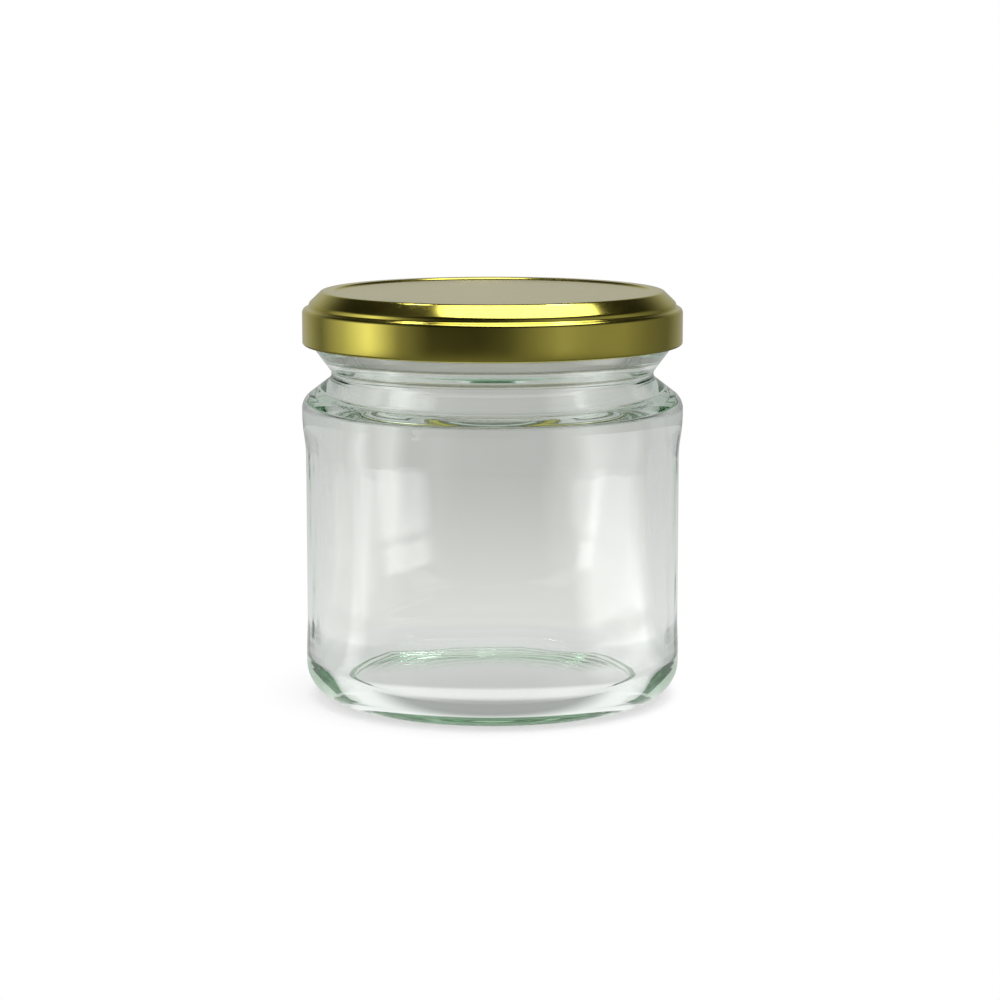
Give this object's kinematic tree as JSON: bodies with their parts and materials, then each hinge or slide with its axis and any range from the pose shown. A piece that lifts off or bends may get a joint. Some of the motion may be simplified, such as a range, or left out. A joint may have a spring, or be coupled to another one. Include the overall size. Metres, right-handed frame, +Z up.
{
  "type": "glass jar with twist-off lid",
  "caption": "Round clear glass food jar with straight walls, a rolled shoulder, a narrow neck and a closed gold metal twist-off lid.",
  "frame": {"origin": "centre of the ring that the jar stands on, at the height of the table", "axes": "+Z up along the jar's axis, from the foot to the lid; the jar is round, so X and Y are free"},
  "size_m": [0.0859, 0.0858, 0.092],
  "materials": {
    "glass": "clear pressed glass with a faint green tint, smooth and glossy",
    "gold_tinplate": "gold lacquered tinplate, bright mirror gloss"
  },
  "bodies": {
    "root": {"jar": "glass", "lid": "gold_tinplate"}
  },
  "joints": []
}
